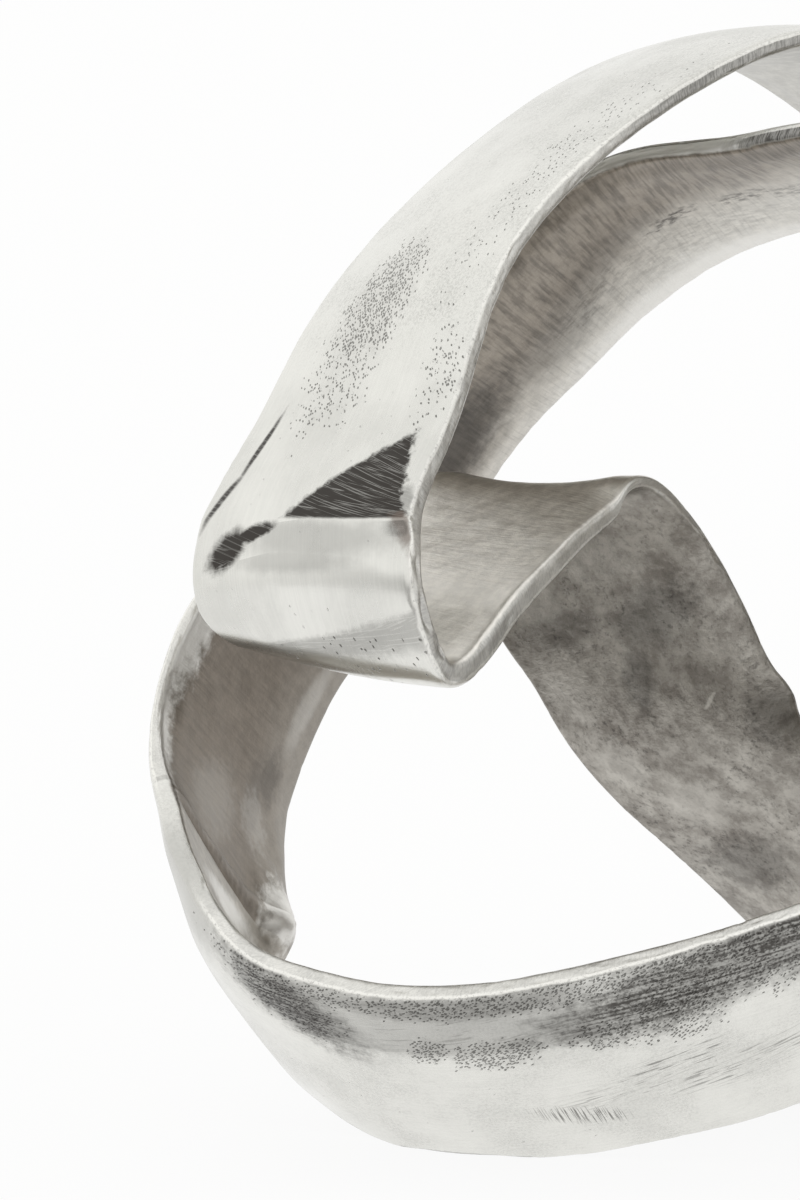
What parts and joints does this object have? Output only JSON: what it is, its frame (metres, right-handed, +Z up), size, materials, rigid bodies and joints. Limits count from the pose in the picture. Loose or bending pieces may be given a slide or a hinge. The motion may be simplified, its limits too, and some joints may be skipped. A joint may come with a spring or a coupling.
{
  "type": "knot sculpture",
  "caption": "Table sculpture: a wide polished aluminium band led round a closed trefoil knot, cast in lengths, welded end to end and ground flat where it stands.",
  "frame": {"origin": "on the table, under the middle of the knot's length and depth", "axes": "+Z up, +X to the right of a viewer who faces the front arch, +Y away from that viewer"},
  "size_m": [0.1994, 0.127, 0.1804],
  "materials": {
    "polished_band": "satin polished outside, cast and brushed inside, filed rims",
    "weld_metal": "ground flush outside, rippled bead inside"
  },
  "bodies": {
    "root": {"front_arch_band": "polished_band", "folded_nose_band": "polished_band", "rear_foot_band": "polished_band", "right_lobe_band": "polished_band", "rear_arch_band": "polished_band", "left_return_band": "polished_band", "front_base_band": "polished_band", "lower_riser_band": "polished_band", "upper_riser_band": "polished_band", "nose_weld": "weld_metal", "descent_weld": "weld_metal", "lobe_weld": "weld_metal", "lobe_top_weld": "weld_metal", "rear_arch_weld": "weld_metal", "corner_weld": "weld_metal", "base_weld": "weld_metal", "riser_weld": "weld_metal", "crown_weld": "weld_metal"}
  },
  "joints": []
}
